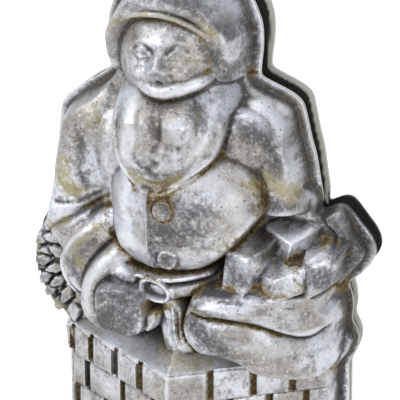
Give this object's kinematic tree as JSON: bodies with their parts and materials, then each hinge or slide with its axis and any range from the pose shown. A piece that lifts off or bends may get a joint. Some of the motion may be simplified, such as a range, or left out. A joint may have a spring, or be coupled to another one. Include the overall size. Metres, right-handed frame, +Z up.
{
  "type": "cake mould",
  "caption": "Tall cast-aluminium cake mould in two loose half shells, shaped as a bearded figure in a brick chimney with a sack of parcels.",
  "frame": {"origin": "on the standing surface, under the middle of the pair of halves", "axes": "+Z up, +X to the right of someone facing the figure, the figure faces -Y and the back half is on the +Y side"},
  "size_m": [0.1891, 0.1394, 0.282],
  "materials": {
    "cast_aluminium_front": "satin casting, tarnished, with baked-on residue in the hollows",
    "cast_aluminium_back": "satin casting, tarnished, with baked-on residue in the hollows"
  },
  "bodies": {
    "front": {"front_half": "cast_aluminium_front"},
    "back": {"back_half": "cast_aluminium_back"}
  },
  "joints": [
    {"name": "back_half_pull", "type": "slide", "parent": "front", "child": "back", "axis": [0, 1, 0], "range_m": [0, 0.15]}
  ]
}
